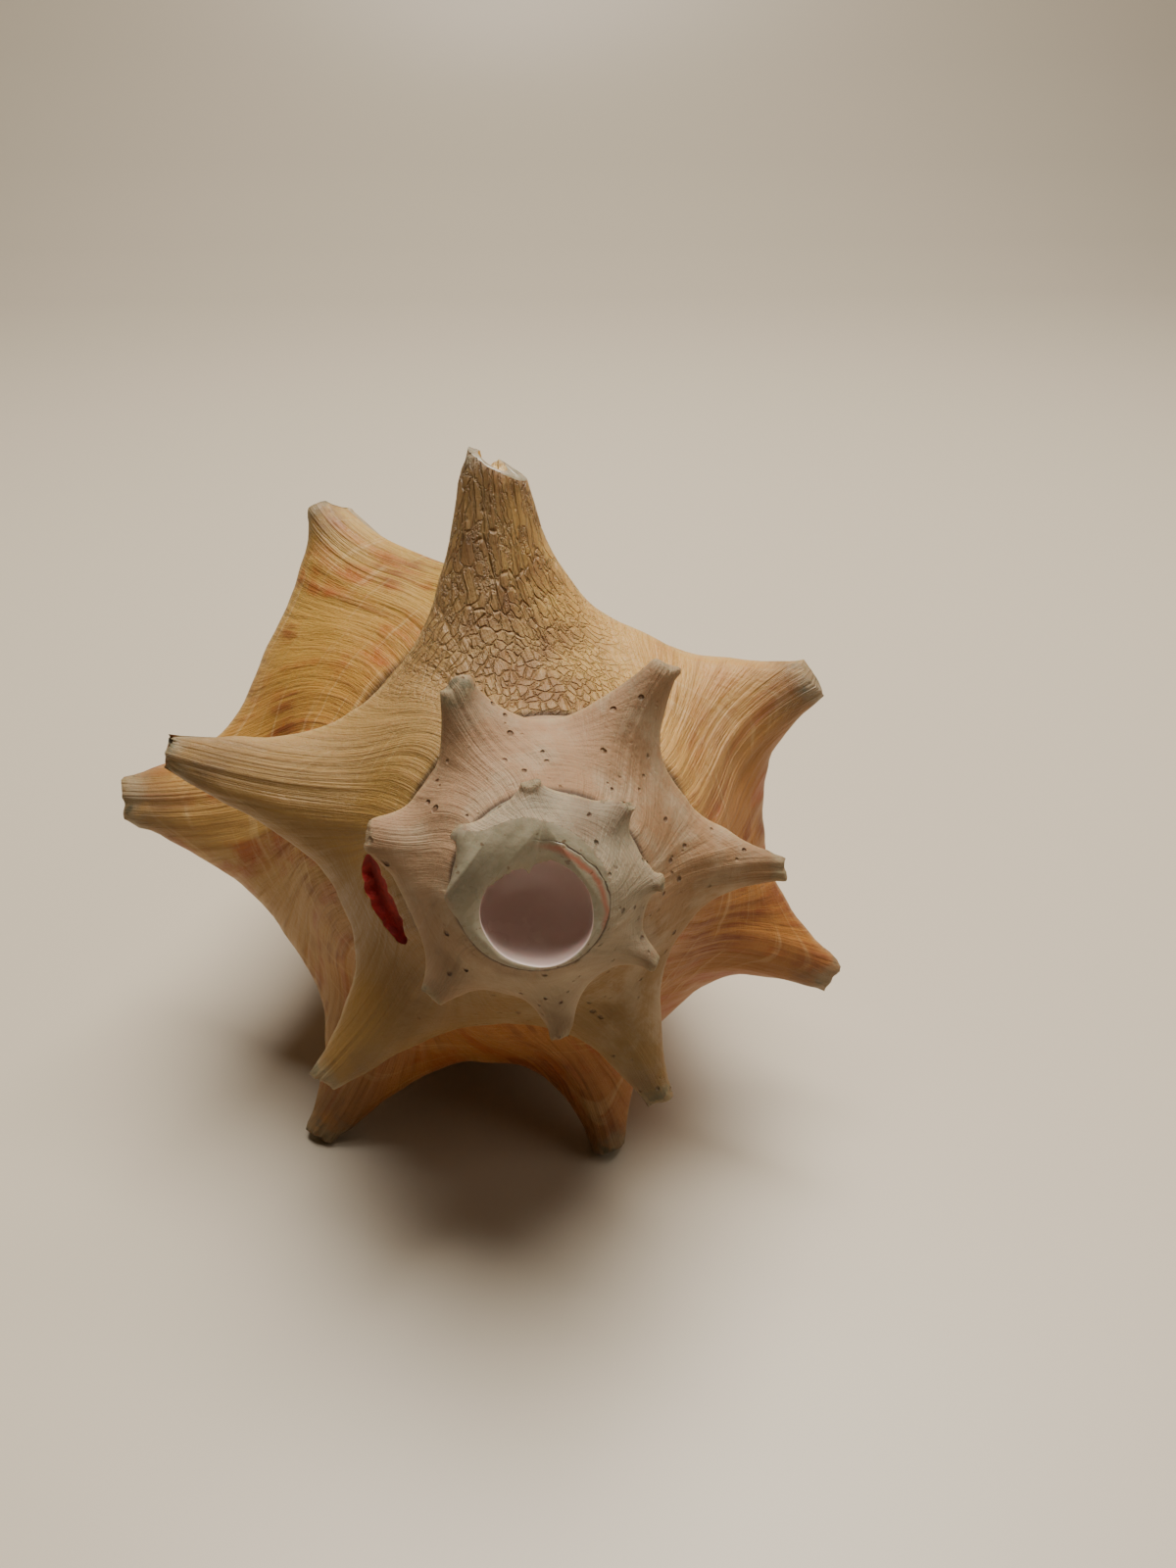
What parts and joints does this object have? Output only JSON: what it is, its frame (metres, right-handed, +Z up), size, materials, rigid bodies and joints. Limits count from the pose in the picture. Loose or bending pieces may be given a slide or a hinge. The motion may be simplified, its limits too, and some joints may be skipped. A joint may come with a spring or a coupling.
{
  "type": "conch shell",
  "caption": "Large spiny sea snail shell with its apex sawn off and bored as a mouth hole, lying on its shoulder spines.",
  "frame": {"origin": "centre of the bounding box's underside, on the surface the shell rests on", "axes": "+Y away from the sawn apex towards the canal, +Z up, +X to the right of a viewer who faces the sawn apex"},
  "size_m": [0.133, 0.1832, 0.1262],
  "materials": {
    "shell": "satin"
  },
  "bodies": {
    "root": {"conch_shell": "shell"}
  },
  "joints": []
}
